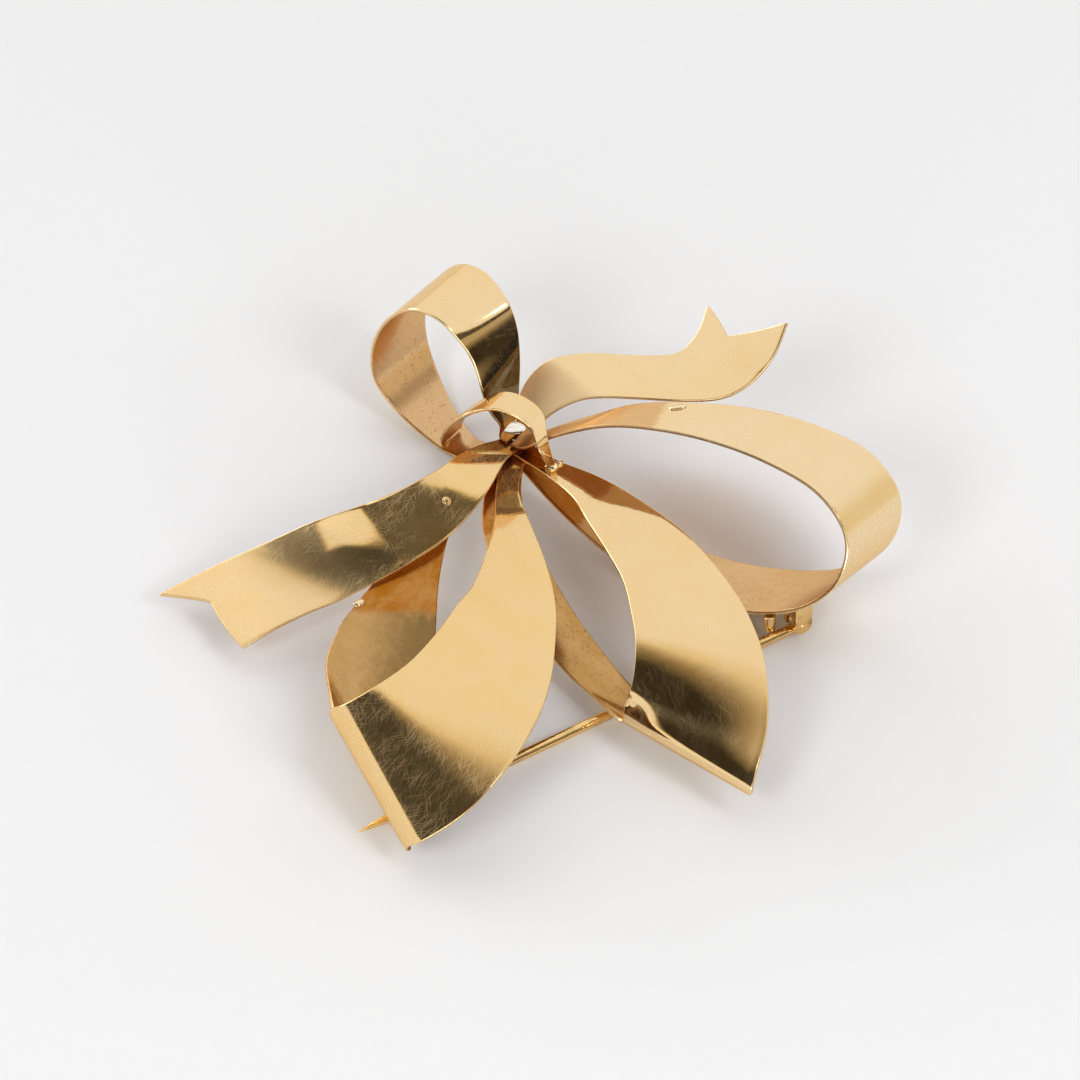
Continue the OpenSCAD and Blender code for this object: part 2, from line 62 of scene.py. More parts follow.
TABLES = {
    "loop_top": [
        [0.098, 0, 0.15, 0.3, -2, -4], [0.145, 0.008, 0.205, 0.4, -5, -8],
        [0.193, 0.008, 0.288, 0.53, -4, -7], [0.234, 0.006, 0.434, 0.6, -7, -11],
        [0.318, -0.024, 0.633, 0.67, -10, -16], [0.389, -0.012, 0.8, 0.74, -9, -15],
        [0.53, 0, 0.95, 0.85, -4, -7], [0.64, 0, 0.95, 0.96, 0, 0], [0.76, 0, 0.86, 0.99, 0, 0],
        [0.91, 0, 0.56, 1, 0, 0], [0.99, 0, 0.14, 0.97, 0, 0], [0.96, 0, -0.18, 0.93, 0, 0],
        [0.81, 0, -0.38, 0.77, 0, 0], [0.6, 0, -0.5, 0.55, 0, 0], [0.41, 0, -0.527, 0.39, 0, 0],
        [0.24, 0, -0.38, 0.31, 0, 0], [0.13, 0, -0.2, 0.27, 0, 0],
    ],
    "loop_right": [[out, -0.037, up, wide, -7, 20] for out, up, wide in (
        (0.114, 0.33, 0.3), (0.25, 0.645, 0.47), (0.4, 0.835, 0.59), (0.555, 0.945, 0.73),
        (0.717, 0.975, 0.83), (0.87, 0.9, 0.9), (0.97, 0.66, 0.92), (0.997, 0.41, 0.93),
        (0.985, 0.09, 0.93), (0.927, -0.21, 0.93), (0.83, -0.44, 0.92), (0.635, -0.64, 0.84),
        (0.483, -0.63, 0.7), (0.33, -0.54, 0.55), (0.165, -0.33, 0.35),
    )] + [[0.08, -0.03, -0.2, 0.26, -7, 24]],
    "loop_lower_right": [
        [0.11, 0.05, 0.2, 0.15, 43, 0], [0.21, 0.095, 0.41, 0.24, 22, 0], [0.32, 0.12, 0.65, 0.37, 7, 0],
        [0.45, 0.147, 0.85, 0.5, -2, 0], [0.58, 0.16, 1, 0.59, -10, 0], [0.69, 0.16, 1, 0.7, -20, 0],
        [0.8, 0.147, 0.82, 0.79, -29, 0], [0.91, 0.106, 0.32, 0.88, -40, 0],
        [0.965, 0.062, -0.2, 0.97, -56, 0], [0.98, 0.052, -0.42, 0.98, -58, 0],
        [0.967, 0.058, -0.66, 0.97, -58, 0], [0.91, 0.035, -0.8, 0.88, -58, 0],
        [0.8, 0.003, -0.92, 0.77, -56, 0], [0.645, -0.044, -0.88, 0.52, -45, 0],
        [0.49, -0.083, -0.68, 0.4, -32, 0], [0.37, -0.098, -0.47, 0.34, -25, 0],
        [0.284, -0.104, -0.32, 0.33, -20, 0], [0.13, -0.078, -0.19, 0.24, -15, 0],
    ],
    "loop_lower_left": [
        [0.123, 0.023, 0.03, 0.14, 18, 0], [0.22, 0.064, 0.24, 0.21, 18, 0],
        [0.334, 0.108, 0.49, 0.35, 14, 0], [0.458, 0.146, 0.73, 0.51, 7, -2],
        [0.553, 0.161, 0.89, 0.64, -4, -4], [0.666, 0.17, 1, 0.76, -8, -7],
        [0.79, 0.156, 1, 0.86, -12, -11], [0.92, 0.1, 0.73, 0.95, -29, -19],
        [0.972, 0.036, 0.33, 0.97, -40, -22], [0.965, 0.008, 0.05, 0.97, -41, -23],
        [0.96, 0, -0.14, 0.97, -41, -22], [0.95, 0.005, -0.35, 0.96, -41, -20],
        [0.88, -0.027, -0.44, 0.92, -41, -17], [0.72, -0.067, -0.51, 0.78, -22, -14],
        [0.588, -0.09, -0.5, 0.62, -2, -13], [0.477, -0.107, -0.5, 0.53, 25, -10],
        [0.385, -0.107, -0.35, 0.41, 33, -5], [0.272, -0.092, -0.17, 0.29, 48, -4],
        [0.162, -0.06, -0.08, 0.21, 55, 0],
    ],
    "tail_left": [
        [0.09, 0.01, 0.62, 0.33, 47, -10], [0.25, 0.09, 0.94, 0.47, 20, -30],
        [0.39, 0.123, 1.02, 0.6, 25, -36], [0.505, 0.12, 0.89, 0.69, 28, -34],
        [0.6, 0.098, 0.49, 0.75, 21, -26], [0.7, 0.067, -0.18, 0.79, 9, -14],
        [0.78, 0.04, -0.65, 0.85, 4, -4], [0.874, 0.018, -1.12, 0.93, 0, 2], [1, 0, -1.7, 1, 14, 4],
    ],
    "tail_right": [
        [0.122, 0.128, 0.186, 0.45, 16, 0], [0.248, 0.157, 0.33, 0.63, 12, 0],
        [0.354, 0.112, 0.427, 0.655, 3, 0], [0.475, 0.019, 0.534, 0.71, 9, 0],
        [0.627, -0.082, 0.616, 0.78, 17, 0], [0.755, -0.125, 0.65, 0.79, 21, 0],
        [0.846, -0.11, 0.71, 0.88, 28, -5], [0.93, -0.072, 0.84, 0.95, 34, -11],
        [1, 0, 1, 1, 38, -17],
    ],
    "knot_band": [
        [-1, 0.014, -1.13, 1, 10, 0], [-0.92, -0.06, -0.83, 1, 10, 0],
        [-0.82, -0.135, -0.47, 1, 8, 0], [-0.61, -0.23, 0.27, 0.98, 5, 0],
        [-0.41, -0.245, 0.83, 0.95, 5, 0], [-0.3, -0.152, 1.055, 0.92, 8, 0],
        [-0.193, -0.05, 1.15, 0.88, 15, 0], [0, 0.075, 1.05, 0.86, 20, 0], [0.196, 0.135, 0.84, 0.78, 20, 0],
        [0.42, -0.005, 0.71, 0.5, 12, 0], [0.54, 0.005, 0.27, 0.24, -20, 0],
    ],
}

# How each ribbon is laid: its layers in the knot (upper root first), how far its roots lap over the
# middle, their turns in plan, its sideways lean, and which edge follows the table (0 is the middle).
BUTT, LAP = -0.1, 0.3
LAYING = {
    "loop_top": dict(layers=(3, -3), lap=BUTT, swings=(0, 0), lean=3, hang=-1),
    "loop_right": dict(layers=(3, -3), lap=BUTT, swings=(0, 0), lean=-28, hang=1),
    "loop_lower_right": dict(layers=(1, -2), lap=LAP, swings=(24, -32), lean=0, hang=0),
    "loop_lower_left": dict(layers=(0, -1), lap=LAP, swings=(12, -20), lean=0, hang=0),
    "tail_left": dict(layers=(2,), lap=BUTT, swings=(10,), lean=0, hang=0),
    "tail_right": dict(layers=(2,), lap=BUTT, swings=(32,), lean=0, hang=0),
    "knot_band": dict(layers=(), lap=0, swings=(), lean=0, hang=0),
}


def length(label, text, default_mm):
    """A length property whose default is given in millimetres."""
    return bpy.props.FloatProperty(name=label, description=text, default=default_mm * MM, unit="LENGTH",
                                   precision=5)


def spot(label, text, default_mm):
    """A place with two or three coordinates, whose default is given in millimetres."""
    return bpy.props.FloatVectorProperty(name=label, description=text, size=len(default_mm), unit="LENGTH",
                                         precision=5, default=[value * MM for value in default_mm])


def angle(label, text, default_deg):
    """An angle property whose default is given in degrees."""
    return bpy.props.FloatProperty(name=label, description=text, default=math.radians(default_deg),
                                   subtype="ANGLE")


def share(label, text, default):
    """A plain factor."""
    return bpy.props.FloatProperty(name=label, description=text, default=default, min=0, precision=3)


def colour(label, text, default):
    """A linear colour."""
    return bpy.props.FloatVectorProperty(name=label, description=text, default=default, size=3,
                                         subtype="COLOR", min=0, max=1)


def balance(label, text, default):
    """A place across a ribbon: -1 is its right edge."""
    return bpy.props.FloatProperty(name=label, description=text, default=default, min=-0.9, max=0.9)


# What a ribbon's property group holds: its sizes and the state of its gold, including painted reflections
# and shade. Each has its kind, its name, what it means and its usual value. A place 99 mm away is past every
# end, so there is no such wear.
RIBBON_FIELDS = {
    "reach": (length, "Reach", "How far the ribbon reaches from the knot", 0),
    "rise": (length, "Rise", "Height of its crest above the knot", 0),
    "width": (length, "Width", "Width where it is widest", 0),
    "bearing": (angle, "Bearing", "Its direction, anticlockwise from +X", 0),
    "notch": (length, "Notch", "Depth of the notch at its end", 0),
    "notch_at": (balance, "Notch place", "Place of the notch from the right edge to the left", 0),
    # Paleness sets each ribbon's gold between rich and pale; its differences between ribbons are a painted
    # reflection tone, one gold made paler or richer to copy how each ribbon's reflections look.
    "pale": (share, "Paleness", "How pale the polished gold is", 0.5),
    "haze": (share, "Haze", "Share of the polish that fine wear has dulled", 0.04),
    "worn": (length, "Worn end", "Where the worn end begins, from the knot", 99),
    "rubbed": (length, "Rubbed fold", "Where the fold is rubbed, from the knot", -99),
    "mark": (spot, "Mark", "Place of a small round dent, along and aside", (-99, 0)),
    # The outside next to the knot: tarnish on the right loop, a painted reflection on the other ribbons.
    "browned": (length, "Browned root", "How far from the knot the outside has coloured", 1),
    "root": (colour, "Root", "The outside next to the knot", (0.58, 0.28, 0.05)),
    "matt": (share, "Matt root", "How matt the coloured root is", 0.08),
    # The inside colour is painted shade and inter-reflected light: darker and more orange than the outside.
    "inside": (colour, "Inside", "The inner face", (0.66, 0.4, 0.18)),
    # How far from the knot the painted amber inter-reflection reaches along the inner face.
    "baked": (length, "Baked inside", "How far from the knot the inner face has coloured", 5),
    # This stain is a painted shade that darkens the left half of an inner face.
    "stained": (share, "Stain", "How dark the stain along the left half of the inner face is", 0),
}


# The ribbons' own values, in millimetres and degrees.
RIBBONS = {
    # The top loop's root colour, nearly black for 7 mm from the knot, is a painted dark reflection on its
    # right strip.
    "loop_top": dict(reach=14.4, rise=9, width=6.8, bearing=141.5, pale=0.6, haze=0.02, browned=7,
                     inside=(0.71, 0.44, 0.22), root=(0.1, 0.065, 0.03)),
    "loop_right": dict(reach=29.2, rise=8, width=7.4, bearing=-31.8, pale=0.9, haze=0.05, browned=12.5,
                       matt=0.5, baked=8, inside=(0.69, 0.42, 0.19), root=(0.67, 0.4, 0.17)),
    "loop_lower_right": dict(reach=33.8, rise=3.4, width=12.4, bearing=-70, haze=0.03, browned=4.2,
                             baked=9, rubbed=34.5, inside=(0.54, 0.29, 0.09)),
    # The lower left loop's inner face carries the deepest painted inter-reflection and a painted shade along
    # its left half.
    "loop_lower_left": dict(reach=37.1, rise=3.7, width=12.6, bearing=-108, pale=0.2, haze=0.14,
                            browned=6, baked=19.4, stained=0.85, inside=(0.56, 0.33, 0.12)),
    "tail_left": dict(reach=28.5, rise=1.7, width=8.9, bearing=213, notch=1.6, notch_at=-0.3, pale=0.3,
                      haze=0.1, browned=2.6, worn=19.5, mark=(9, 0.2)),
    "tail_right": dict(reach=18.8, rise=8.5, width=7.6, bearing=18.6, notch=1.8, notch_at=0.3, pale=0.6,
                       haze=0.06, browned=7.5, matt=1, root=(0.88, 0.66, 0.38)),
    "knot_band": dict(reach=7.4, rise=3.8, width=2.5, bearing=-47, browned=0.5),
}


def ribbon_group(node):
    """The property group of a ribbon."""
    fields = {key: kind(label, text, RIBBONS[node].get(key, usual))
              for key, (kind, label, text, usual) in RIBBON_FIELDS.items()}
    title = "Brooch" + node.title().replace("_", "")
    return type(title, (bpy.types.PropertyGroup,), {"__annotations__": fields})


class BroochSheet(bpy.types.PropertyGroup):
    """Sizes of the gold sheet and of the knot."""
    thickness: length("Thickness", "Thickness of the gold sheet", 0.3)
    corner: length("Edge rounding", "Radius of the burnished edges", 0.1)
    gap: length("Layer gap", "Gap between neighbouring layers in the knot", 0.05)
    root_half: length("Root length", "Length of a flat root on each side of the knot's middle", 1)
    root_width: length("Root width", "Width of each ribbon at its root", 1.8)
    knot_left: length("Knot left", "Place of the knot to the left of the middle", 1.15)
    knot_up: length("Knot up", "Place of the knot towards the top", 12.7)
    knot_height: length("Knot height", "Height of the knot's middle above the table", 5.1)
    grain: length("Mesh step", "Length of a mesh face along a ribbon", 0.16)


class BroochPin(bpy.types.PropertyGroup):
    """Sizes of the pin and its rivet."""
    wire: length("Wire", "Diameter of the pin's wire", 0.8)
    height: length("Height", "Height of the wire's middle above the table", 0.6)
    length: length("Length", "From the rivet to the point", 39.435)
    point: length("Point", "Length of the taper", 3.6)
    eye: length("Eye", "Diameter of the eye", 1.3)
    eye_bore: length("Eye bore", "Diameter of the hole in the eye", 0.53)
    eye_width: length("Eye width", "Width of the eye", 0.9)
    eye_corner: length("Eye rounding", "Radius of the eye's rounded edges", 0.13)
    rivet: length("Rivet", "Diameter of the rivet", 0.45)
    rivet_length: length("Rivet length", "Length of the rivet between its heads", 1.68)
    rivet_head: length("Rivet head", "Height of the rivet's domed heads", 0.14)
    rivet_rim: length("Rivet rim", "How far the rivet's heads stand out round it", 0.15)


class BroochSolder(bpy.types.PropertyGroup):
    """Places and sizes of the solder."""
    pool_place: spot("Pool place", "Middle of the pool in the knot", (-1.33, 13.6, 6.3))
    pool_normal: bpy.props.FloatVectorProperty(name="Pool facing", description="Way that the pool faces",
                                               default=(0, -0.08, 1), size=3)
    pool_long: length("Pool length", "Half length of the pool", 0.88)
    pool_wide: length("Pool width", "Half width of the pool", 0.72)
    pool_high: length("Pool height", "Height of the pool's rim", 0.2)
    pool_dish: length("Pool hollow", "Depth of the hollow in the pool's top", 0.1)
    pool_deep: length("Pool depth", "How far the pool reaches down between the ribbons", 0.45)
    bead: length("Bead", "Radius of the small beads", 0.24)
    foot_high: length("Foot bead height", "Height of the beads at the band's feet", 0.11)
    join_high: length("Join height", "Height of the beads that join two ribbons", 0.16)
    right_join: spot("Right join", "Bead between the right tail and the right loop", (11.3, 11.3, 11.05))
    left_join: spot("Left join", "Bead between the left tail and the lower left loop", (-13, -2.5, 3.95))


class BroochGold(bpy.types.PropertyGroup):
    """Colours and finish of the gold, with the colours of its painted reflections and shade."""
    rich: colour("Rich gold", "The polished gold where it is yellowest", (0.9, 0.61, 0.26))
    pale: colour("Pale gold", "The polished gold where it is palest", (0.91, 0.7, 0.42))
    hazy: colour("Hazy gold", "What fine wear bleaches the gold towards", (1, 0.8, 0.5))
    edge: colour("Edge tint", "What tints the mirroring at a low angle", (0.95, 0.8, 0.6))
    # The dark colour of the specks, and also of the darker line along the rims and the darker patches next to
    # the knot's ends.
    dirt: colour("Dirt", "The specks and what sits in the corners", (0.16, 0.075, 0.03))
    # Burnt is the tone of the painted shade on an inner face.
    painted_shade_tone: colour("Burnt", "The stain on an inner face", (0.22, 0.13, 0.045))
    # Amber is painted inter-reflected light: the gold mirroring itself in the knot and inside the loops.
    amber: colour("Amber", "What heat left in the knot and inside the loops", (0.44, 0.14, 0.002))
    solder: colour("Solder", "The beads of solder", (0.95, 0.78, 0.5))
    # The pool's near-white colour is a painted highlight that makes the solder shine white in the knot.
    pool: colour("Pool", "The pool of solder in the knot", (0.99, 0.95, 0.86))
    polish: share("Polish", "Roughness of the clean gold", 0.06)
    satin: share("Satin", "Roughness of the coloured inner faces", 0.22)
    dull: share("Dull", "Roughness where fine wear has dulled the polish", 0.42)
    bleached: share("Bleaching", "How far fine wear bleaches the gold", 0.2)
    scratches: share("Scratches", "Strength of the hair scratches", 0.17)


class BroochStudio(bpy.types.PropertyGroup):
    """The camera, the lights and the table."""
    target: spot("Aim", "Point that the camera and the lamps look at", (0.75, 8.1, -0.4))
    elevation: angle("Camera height", "Angle of the camera above the table", 47)
    distance: length("Camera distance", "From the camera to the brooch", 900)
    lens: bpy.props.FloatProperty(name="Lens", description="Focal length in millimetres", default=390)
    tent: share("Tent light", "Brightness of the light tent", 0.95)
    gaps: share("Dark gaps", "How dark the gaps between the tent's lamps are", 0.975)
    glints: share("Glints", "Brightness of the tent's small lamps", 7)
    lamps: share("Lamps", "Power of the two soft lamps in watts", 1.5)
    lamp_height: angle("Lamp height", "Angle of the soft lamps above the table", 42)
    lamp_away: length("Lamp distance", "From a soft lamp to the brooch", 800)
    lamp_size: length("Lamp size", "Diameter of a soft lamp", 300)
    table_half: length("Table size", "Half the width of the table", 1500)
    table: colour("Table", "The pale card", (0.79, 0.795, 0.818))
    # A painted pool of warm light: the colour, place and reach of the light that the right loop throws on the
    # table.
    painted_bounce: colour("Warm table", "The table in the right loop's light", (0.68, 0.56, 0.47))
    warm_place: spot("Warm place", "Middle of the right loop's light on the table", (12, 6))
    warm_reach: length("Warm reach", "Radius at which the right loop's light has faded", 12)


def curve_rows(rows, reach, rise, per_span=40):
    """Rows along a cubic through the table's rows. The parameter grows with the square root of the chord
    between two rows, and the slope at a row is the mean of its two chords, weighted by the other's span."""
    rows = np.asarray(rows, float)
    step = np.diff(rows, axis=0)
    span = np.sqrt(np.linalg.norm(step[:, :3] * [reach, reach, rise], axis=1))[:, None]
    chord = step / span
    mean = (chord[:-1] * span[1:] + chord[1:] * span[:-1]) / (span[1:] + span[:-1])
    slope = np.vstack([chord[:1], mean, chord[-1:]])
    f = (np.arange(per_span) / per_span)[None, :, None]
    start, end = rows[:-1, None], rows[1:, None]
    leaving, arriving = (slope[:-1] * span)[:, None], (slope[1:] * span)[:, None]
    points = (start * (2 * f**3 - 3 * f**2 + 1) + leaving * (f**3 - 2 * f**2 + f)
              + end * (3 * f**2 - 2 * f**3) + arriving * (f**3 - f**2))
    return np.vstack([points.reshape(-1, rows.shape[1]), rows[-1:]])


def rotated(x, y, angle):
    """Two coordinates turned anticlockwise: x cos - y sin, and x sin + y cos."""
    c, s = math.cos(angle), math.sin(angle)
    return x * c - y * s, x * s + y * c


def root_rows(layer, swing, size, laying, sheet):
    """The flat root of a ribbon, outer row first, in its layer of the knot."""
    height = layer * (sheet.thickness + sheet.gap) / MM
    half, width = sheet.root_half / MM, sheet.root_width / MM
    reach, rise, full = size.reach / MM, size.rise / MM, size.width / MM
    rows = []
    for out in (half, 0.7 * half, -laying["lap"]):
        side = -laying["hang"] * width / 2 + max(out, 0) * math.tan(math.radians(swing))
        side, up = rotated(side, height, -math.radians(laying["lean"]))
        rows.append([out / reach, side / reach, up / rise, width / full, swing, -laying["lean"]])
    return rows


def ribbon_stations(name, size, sheet):
    """Middle line, direction across and half width of a ribbon at even steps along it, in millimetres.
    The rows are placed by turning them to the bearing and leaning them about it, resampled at even steps
    and smoothed with a short bell curve, so that reflections run through them without a break."""
    laying = LAYING[name]
    rows = TABLES[name]
    roots = [root_rows(layer, swing, size, laying, sheet)
             for layer, swing in zip(laying["layers"], laying["swings"])]
    if roots:
        rows = roots[0][::-1] + rows
    if len(roots) == 2:
        rows = rows + roots[1]
    reach, rise = size.reach / MM, size.rise / MM
    line = curve_rows(rows, reach, rise)
    lean = math.radians(laying["lean"])
    side, up = rotated(line[:, SIDE] * reach, line[:, UP] * rise, lean)
    x, y = rotated(line[:, OUT] * reach, side, size.bearing)
    knot = np.array([-sheet.knot_left, sheet.knot_up, sheet.knot_height]) / MM
    middle = np.stack([x, y, up], 1) + knot
    turn = size.bearing + math.pi / 2 + np.radians(line[:, TURN])
    tip = np.radians(line[:, TIP]) + lean
    across = np.stack([np.cos(turn) * np.cos(tip), np.sin(turn) * np.cos(tip), np.sin(tip)], 1)
    half = line[:, WIDE] * size.width / MM / 2
    middle = middle + across * half[:, None] * laying["hang"]
    path = travelled(middle)
    even = np.linspace(0, path[-1], int(path[-1] / (sheet.grain / MM)) + 1)
    columns = np.hstack([middle, across, half[:, None]]).T
    packed = smoothed(np.stack([np.interp(even, path, column) for column in columns], 1), sigma=2.5)
    packed[:, 3:6] /= np.linalg.norm(packed[:, 3:6], axis=1)[:, None]
    return packed[:, :3], packed[:, 3:6], packed[:, 6]


def travelled(points):
    """How far along a line each of its points lies: the sum of the steps before it."""
    return np.concatenate([[0], np.cumsum(np.linalg.norm(np.diff(points, axis=0), axis=1))])


def smoothed(values, sigma):
    """Columns smoothed with a bell curve of that many steps. The ends run on in a straight line, so that
    they stay where they are."""
    reach = int(4 * sigma)
    bell = np.exp(-0.5 * (np.arange(-reach, reach + 1) / sigma) ** 2)
    bell /= bell.sum()
    back = 2 * values[:1] - values[reach:0:-1]
    on = 2 * values[-1:] - values[-2:-reach - 2:-1]
    padded = np.vstack([back, values, on])
    return np.stack([np.convolve(column, bell, "valid") for column in padded.T], 1)


def section(half_t, corner, flats, arc=5):
    """The closed outline across a sheet: how far each point lies across (-1 to 1) with the part that the
    corner takes from it, and its height. It runs along the face, round the left edge and back below."""
    theta = np.linspace(math.pi / 2, 0, arc + 1)[1:]
    inwards, drop = corner * np.cos(theta) - corner, half_t - corner + corner * np.sin(theta)
    edge = np.ones(arc)
    across = np.concatenate([-edge, flats, edge])
    inset = np.concatenate([-inwards[::-1], -corner * flats, inwards])
    height = np.concatenate([drop[::-1], np.full(len(flats), half_t), drop])
    return [np.concatenate([face, back[::-1]])
            for face, back in ((across, across), (inset, inset), (height, -height))]


def between(values, low, f):
    """Values at places that lie the share f of the way from row low to the next row."""
    return values[low] * (1 - f) + values[low + 1] * f


def ribbon_mesh(name, middle, across, half, thickness, corner, notch, notch_at, ends):
    """A strip of sheet along its stations. The section is carried along the middle line: a point lies
    across by its share of the half width and stands off by the section's height along the normal. Near
    both ends the height shrinks along a quarter circle, which rounds the cut. With a notch, a column is
    read at stations pulled back in proportion, most at the notch and not at all at the tips. Its points
    know how far along and aside they lie, how far from the rim and from the nearest end in the knot, and
    whether they face inwards."""
    run = travelled(middle)
    normal = np.cross(np.gradient(middle, axis=0), across)
    normal /= np.linalg.norm(normal, axis=1)[:, None]
    flats = np.linspace(-1, 1, 25)
    if notch:
        flats = np.concatenate([np.linspace(-1, notch_at, 14)[:-1], np.linspace(notch_at, 1, 14)])
    share_across, inset, height = section(thickness / 2, corner, flats)
    ease = corner * (1 - np.cos(np.linspace(0, math.pi / 2, 5)))
    clear = 1.3 * corner
    inner_run = run[(run > clear) & (run < run[-1] - clear)]
    stops = np.concatenate([ease, inner_run, run[-1] - ease[::-1]])
    away = np.clip(np.minimum(stops, run[-1] - stops), 0, corner)
    thin = thickness / 2 - corner + np.sqrt(np.maximum(corner**2 - (corner - away) ** 2, 0))
    thin /= thickness / 2
    pull = np.where(share_across < notch_at, (share_across + 1) / (notch_at + 1),
                    (1 - share_across) / (1 - notch_at))
    where = stops[:, None] * (1 - pull[None, :] * notch / np.linalg.norm(middle[-1] - middle[0]))
    index = np.interp(where, run, np.arange(len(middle)))
    low = np.clip(index.astype(int), 0, len(middle) - 2)
    f = index - low
    width = between(half, low, f)
    offset = share_across[None, :] * width + inset[None, :]
    points = between(middle, low, f[..., None]) + between(across, low, f[..., None]) * offset[..., None]
    points = points + between(normal, low, f[..., None]) * (height[None, :] * thin[:, None])[..., None]
    root = np.minimum(where, run[-1] - where) if ends == 2 else where
    facts = {"along": where, "aside": offset, "inner": np.broadcast_to(height[None, :] < 0, where.shape),
             "rim": width - np.abs(offset), "root": root}
    return tube_mesh(name, points, facts)


def tube_mesh(name, rings, facts=None, endless=False):
    """A closed mesh from a grid of rings (rings, points, 3) in millimetres. Each ring's second half is the
    mirror of its first, so that the two ends close with a strip of faces between the halves. In an
    endless one the last ring runs on into the first instead."""
    rows, cols = rings.shape[:2]
    i, j = np.meshgrid(np.arange(rows if endless else rows - 1), np.arange(cols), indexing="ij")
    beside, near, far = (j + 1) % cols, i * cols, (i + 1) % rows * cols
    faces = [np.stack([near + j, near + beside, far + beside, far + j], -1).reshape(-1, 4)]
    if not endless:
        a = np.arange(cols // 2 - 1)
        strip = np.stack([a, cols - 1 - a, cols - 2 - a, a + 1], 1)
        faces += [strip, strip[:, ::-1] + (rows - 1) * cols]
    return surface(name, rings.reshape(-1, 3), np.vstack(faces), facts)


def linked(name, data):
    """A new object of the scene with this data."""
    made = bpy.data.objects.new(name, data)
    bpy.context.scene.collection.objects.link(made)
    return made


def surface(name, points, faces, facts=None):
    """An object with a smooth mesh of these points, in millimetres, and faces of four corners. Each of the
    facts becomes a number on every point, which the materials read."""
    mesh = bpy.data.meshes.new(name)
    mesh.vertices.add(len(points))
    mesh.vertices.foreach_set("co", (points * MM).astype(np.float32).ravel())
    mesh.loops.add(faces.size)
    mesh.loops.foreach_set("vertex_index", faces.astype(np.int32).ravel())
    mesh.polygons.add(len(faces))
    mesh.polygons.foreach_set("loop_start", np.arange(0, faces.size, 4, dtype=np.int32))
    mesh.polygons.foreach_set("use_smooth", np.ones(len(faces), bool))
    for key, value in (facts or {}).items():
        values = np.asarray(value, np.float32).ravel()
        mesh.attributes.new(key, "FLOAT", "POINT").data.foreach_set("value", values)
    mesh.update(calc_edges=True)
    return linked(name, mesh)


def make_ribbon(node, size, sheet):
    """The finished strip that stands for a ribbon node."""
    middle, across, half = ribbon_stations(node, size, sheet)
    ends = len(LAYING[node]["layers"]) or 2
    piece = ribbon_mesh(f"{node}_sheet", middle, across, half, sheet.thickness / MM, sheet.corner / MM,
                        size.notch / MM, size.notch_at, ends)
    finished(piece, gold_sheet(node, size), node)


def finished(piece, gold, node=None, body="bow"):
    """Gives a piece its gold, makes it ride on its body and lets it stand for a node."""
    piece.data.materials.append(gold)
    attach(piece, body)
    if node:
        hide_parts(node)


def arithmetic(kind):
    """The two methods of an operator, plain and reflected, which add a Math node of this kind."""
    return (lambda self, other: self.graph.math(kind, self, other),
            lambda self, other: self.graph.math(kind, other, self))


class Value:
    """A shader socket that takes part in Python arithmetic: each operation adds a Math node."""
    __add__, __radd__ = arithmetic("ADD")
    __sub__, __rsub__ = arithmetic("SUBTRACT")
    __mul__, __rmul__ = arithmetic("MULTIPLY")

    def __init__(self, graph, socket):
        self.graph, self.socket = graph, socket

    def clamp(self):
        """The value held between 0 and 1."""
        return self.graph.node("Clamp", {}, {"Value": self})

    def within(self, low, high, soft):
        """1 between low and high, falling smoothly to 0 over a border as wide as soft on either side."""
        return self.step(low - soft, low + soft) * (1 - self.step(high - soft, high + soft))

    def step(self, low, high):
        """A smooth step from 0 at low to 1 at high."""
        return self.graph.node("MapRange", {"interpolation_type": "SMOOTHSTEP"},
                               {"Value": self, "From Min": low, "From Max": high})


